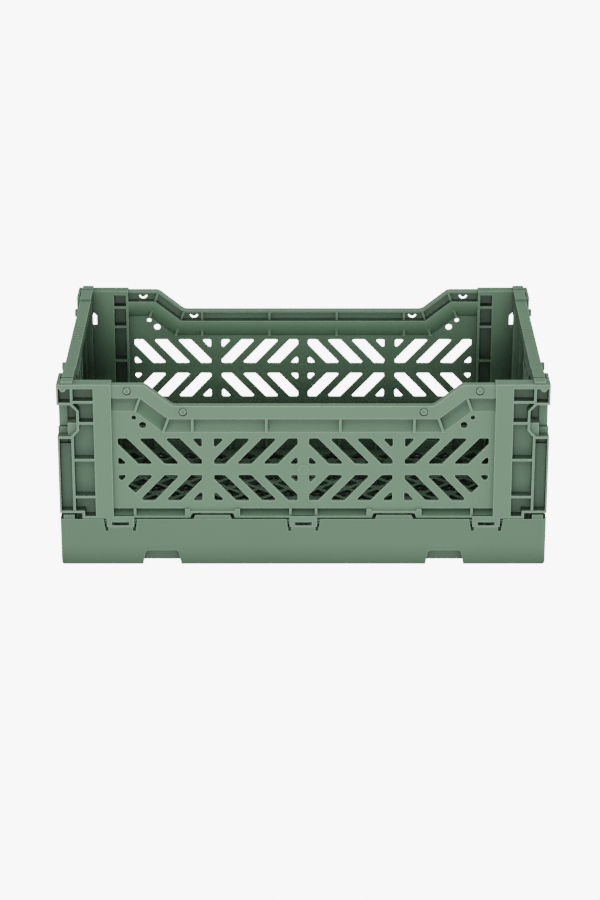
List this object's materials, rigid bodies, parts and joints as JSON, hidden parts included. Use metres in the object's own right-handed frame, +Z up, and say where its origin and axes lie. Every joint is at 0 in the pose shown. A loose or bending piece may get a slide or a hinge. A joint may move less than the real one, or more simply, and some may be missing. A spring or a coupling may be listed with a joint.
{
  "type": "collapsible storage crate",
  "caption": "Low tray with two tall slotted long walls and two end walls on moulded hinges, folding flat into the tray.",
  "frame": {"origin": "centre of the underside, on the plane the crate stands on", "axes": "+X along the length, -Y towards the front long wall, +Z up"},
  "size_m": [0.266, 0.171, 0.1064],
  "materials": {
    "crate_plastic": "fine matte texture, sage green"
  },
  "bodies": {
    "tray": {"base_tray": "crate_plastic"},
    "front_wall": {"front_wall": "crate_plastic"},
    "back_wall": {"back_wall": "crate_plastic"},
    "left_wall": {"left_wall": "crate_plastic"},
    "right_wall": {"right_wall": "crate_plastic"},
    "left_front_latch": {"left_front_latch": "crate_plastic"},
    "left_back_latch": {"left_back_latch": "crate_plastic"},
    "right_front_latch": {"right_front_latch": "crate_plastic"},
    "right_back_latch": {"right_back_latch": "crate_plastic"}
  },
  "joints": [
    {"name": "left_wall_fold", "type": "hinge", "parent": "tray", "child": "left_wall", "pos_m": [-0.129, 0, 0.011], "axis": [0, 1, 0], "range_deg": [0, 90]},
    {"name": "right_wall_fold", "type": "hinge", "parent": "tray", "child": "right_wall", "pos_m": [0.129, 0, 0.011], "axis": [0, -1, 0], "range_deg": [0, 90]},
    {"name": "front_wall_fold", "type": "hinge", "parent": "tray", "child": "front_wall", "pos_m": [0, -0.0826, 0.0253], "axis": [-1, 0, 0], "range_deg": [0, 0.3]},
    {"name": "back_wall_fold", "type": "hinge", "parent": "tray", "child": "back_wall", "pos_m": [0, 0.0826, 0.0253], "axis": [1, 0, 0], "range_deg": [0, 0.3]},
    {"name": "left_front_latch_press", "type": "hinge", "parent": "left_wall", "child": "left_front_latch", "pos_m": [-0.1302, -0.0762, 0.064], "axis": [-1, 0, 0], "range_deg": [0, 5]},
    {"name": "left_back_latch_press", "type": "hinge", "parent": "left_wall", "child": "left_back_latch", "pos_m": [-0.1302, 0.0762, 0.064], "axis": [1, 0, 0], "range_deg": [0, 5]},
    {"name": "right_front_latch_press", "type": "hinge", "parent": "right_wall", "child": "right_front_latch", "pos_m": [0.1302, -0.0762, 0.064], "axis": [-1, 0, 0], "range_deg": [0, 5]},
    {"name": "right_back_latch_press", "type": "hinge", "parent": "right_wall", "child": "right_back_latch", "pos_m": [0.1302, 0.0762, 0.064], "axis": [1, 0, 0], "range_deg": [0, 5]}
  ]
}
